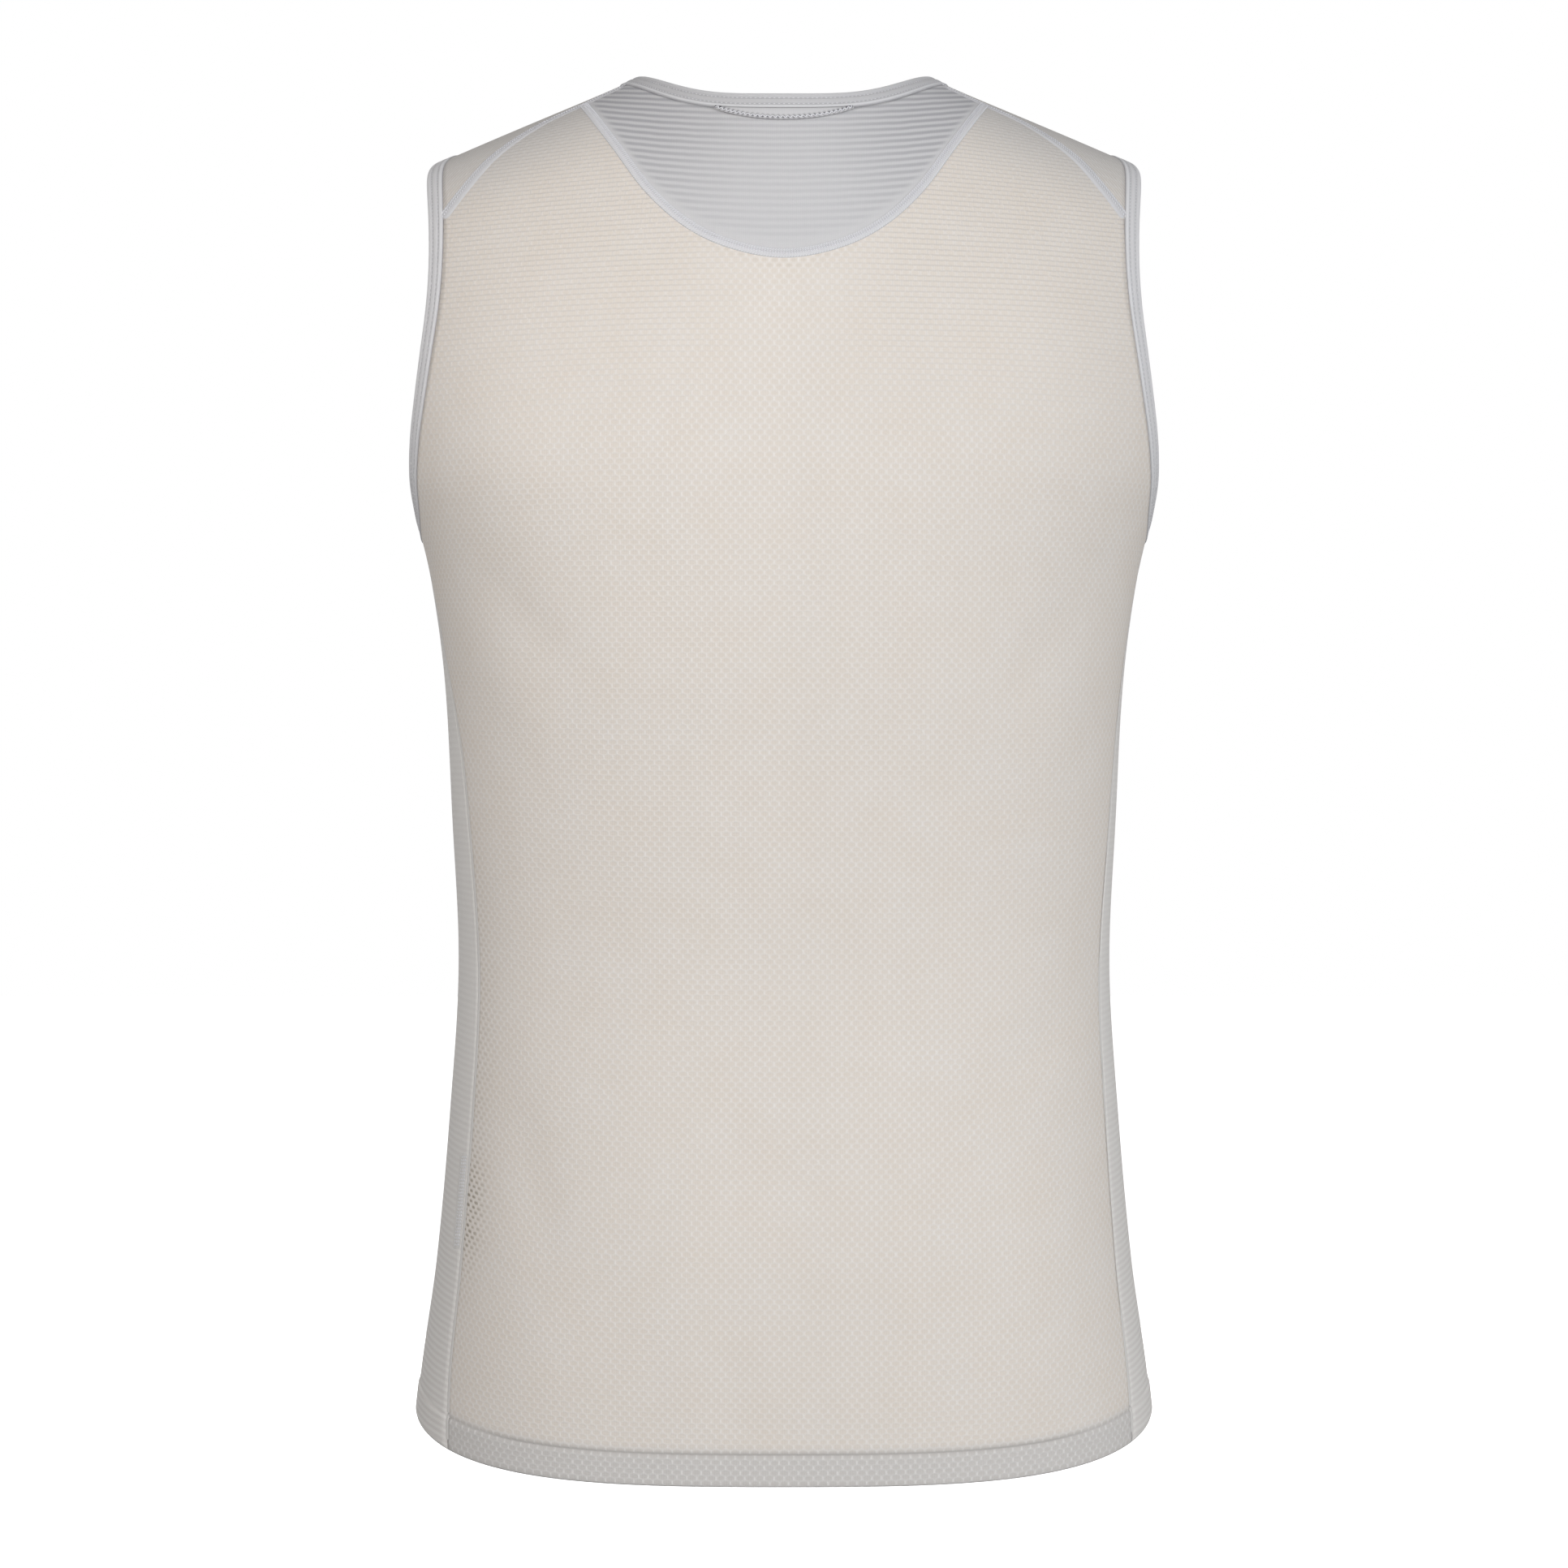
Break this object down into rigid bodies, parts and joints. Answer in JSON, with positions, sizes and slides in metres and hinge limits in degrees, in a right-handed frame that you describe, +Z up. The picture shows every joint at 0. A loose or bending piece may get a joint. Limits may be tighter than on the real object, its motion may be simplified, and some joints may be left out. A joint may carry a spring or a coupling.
{
  "type": "sleeveless base layer",
  "caption": "Close-fitting sleeveless knit-mesh sports undershirt with a round neck, bound armholes, striped yoke and side panels, filled out hollow.",
  "frame": {"origin": "middle of the neck opening, 3 mm below the neck points, where the wearer's neck and shoulders hold the garment", "axes": "+Z up; the front faces -Y and the back faces +Y; the wearer's left is +X"},
  "size_m": [0.351, 0.2394, 0.6535],
  "materials": {
    "mesh_knit": "matte mesh knit, cool yarn over warm beige cells",
    "striped_knit": "matte fine-striped knit",
    "binding_knit": "soft matte folded binding",
    "tab_knit": "smooth matte jersey"
  },
  "bodies": {
    "root": {"back_panel": "mesh_knit", "front_panel": "mesh_knit", "back_yoke": "striped_knit", "side_panel_left": "striped_knit", "side_panel_right": "striped_knit", "neck_binding": "binding_knit", "armhole_binding_left": "binding_knit", "armhole_binding_right": "binding_knit", "neck_tab": "tab_knit"}
  },
  "joints": []
}
